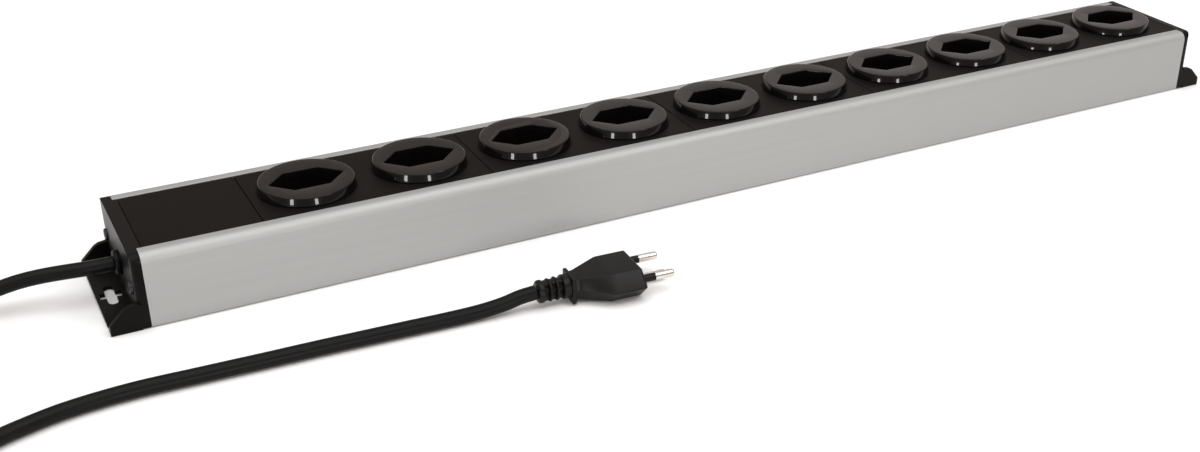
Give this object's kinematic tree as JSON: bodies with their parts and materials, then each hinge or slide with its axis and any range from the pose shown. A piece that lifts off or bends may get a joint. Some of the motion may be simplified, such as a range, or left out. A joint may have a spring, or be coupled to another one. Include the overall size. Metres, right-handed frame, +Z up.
{
  "type": "desk power strip",
  "caption": "Long desk power strip: aluminium channel with a row of round hexagonal sockets, screw-down feet at both ends and a mains lead with a three-pin plug.",
  "frame": {"origin": "on the surface that the strip stands on, under the middle of the aluminium channel", "axes": "+X along the strip, away from the end where the lead leaves; +Z up, out of the sockets; +Y to the back"},
  "size_m": [0.8216, 0.1621, 0.0407],
  "materials": {
    "anodised_aluminium": "satin anodised",
    "cover_black": "satin, fine grain",
    "socket_black": "polished with a satin top",
    "cap_black": "semi-gloss moulded",
    "cord_black": "satin sheath",
    "plug_black": "satin moulded",
    "tie_black": "satin",
    "screw_black": "black plated",
    "brass": "bare",
    "nickel": "nickel plated, satin",
    "zinc": "zinc plated",
    "insulator": "moulded",
    "wire_brown": "satin",
    "wire_blue": "satin",
    "wire_green_yellow": "satin"
  },
  "bodies": {
    "root": {"blank_cover": "cover_black", "cable_bush": "cord_black", "cap_screw_left_back": "screw_black", "cap_screw_left_front": "screw_black", "cap_screw_right_back": "screw_black", "cap_screw_right_front": "screw_black", "clamp_screw_back": "zinc", "clamp_screw_front": "zinc", "contact_carrier_1": "insulator", "contact_carrier_2": "insulator", "contact_carrier_3": "insulator", "contact_carrier_4": "insulator", "contact_carrier_5": "insulator", "cord_clamp_base": "insulator", "cord_clamp_strap": "insulator", "cord_coil": "cord_black", "cord_run_back": "cord_black", "cord_run_out": "cord_black", "cord_tail": "cord_black", "cord_tie": "tie_black", "earth_bar": "brass", "end_cap_left": "cap_black", "end_cap_right": "cap_black", "housing_profile": "anodised_aluminium", "live_bar": "brass", "module_cover_1": "cover_black", "module_cover_2": "cover_black", "module_cover_3": "cover_black", "module_cover_4": "cover_black", "module_cover_5": "cover_black", "neutral_bar": "brass", "pin_sleeve_live": "plug_black", "pin_sleeve_neutral": "plug_black", "plug_body": "plug_black", "plug_boot": "plug_black", "plug_pin_earth": "nickel", "plug_pin_live": "nickel", "plug_pin_neutral": "nickel", "socket_insert_01": "socket_black", "socket_insert_02": "socket_black", "socket_insert_03": "socket_black", "socket_insert_04": "socket_black", "socket_insert_05": "socket_black", "socket_insert_06": "socket_black", "socket_insert_07": "socket_black", "socket_insert_08": "socket_black", "socket_insert_09": "socket_black", "socket_insert_10": "socket_black", "terminal_block": "insulator", "terminal_screw_earth": "zinc", "terminal_screw_live": "zinc", "terminal_screw_neutral": "zinc", "wire_earth": "wire_green_yellow", "wire_live": "wire_brown", "wire_neutral": "wire_blue"}
  },
  "joints": []
}
